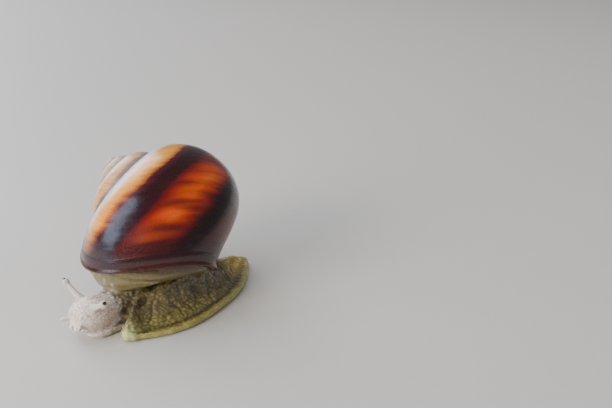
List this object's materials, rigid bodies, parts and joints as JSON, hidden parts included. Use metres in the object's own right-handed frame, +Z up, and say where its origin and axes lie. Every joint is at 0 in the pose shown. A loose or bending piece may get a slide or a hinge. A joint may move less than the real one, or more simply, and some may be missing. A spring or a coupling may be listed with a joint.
{
  "type": "striped snail model",
  "caption": "Life-size still model of a dark-banded land snail resting half drawn in, its spiral shell tilted over a broad flat foot, with head, feelers and tail showing.",
  "frame": {"origin": "middle of the object's box at the level of the sole, which rests on the floor", "axes": "+Z up, the snail heads towards -Y with its tail at +Y, and its left side is +X; the shell's apex points to its right, -X"},
  "size_m": [0.0378, 0.0517, 0.0344],
  "materials": {
    "banded_shell": "glossy horn-like shell, dark brown bands between orange and cream stripes",
    "lip_enamel": "smooth thickened rim, brown",
    "snail_skin": "moist pebbled skin, olive to pale tan",
    "eye": "wet black"
  },
  "bodies": {
    "root": {"shell_body_whorl": "banded_shell", "shell_penultimate_whorl": "banded_shell", "shell_spire": "banded_shell", "shell_apex": "banded_shell", "shell_lip": "lip_enamel", "mantle_collar": "snail_skin", "neck": "snail_skin", "head": "snail_skin", "mouth_lips": "snail_skin", "tentacle_upper_left": "snail_skin", "tentacle_upper_right": "snail_skin", "tentacle_tip_left": "snail_skin", "tentacle_tip_right": "snail_skin", "eye_left": "eye", "eye_right": "eye", "tentacle_lower_left": "snail_skin", "tentacle_lower_right": "snail_skin", "foot_front": "snail_skin", "foot_middle": "snail_skin", "foot_tail": "snail_skin"}
  },
  "joints": []
}
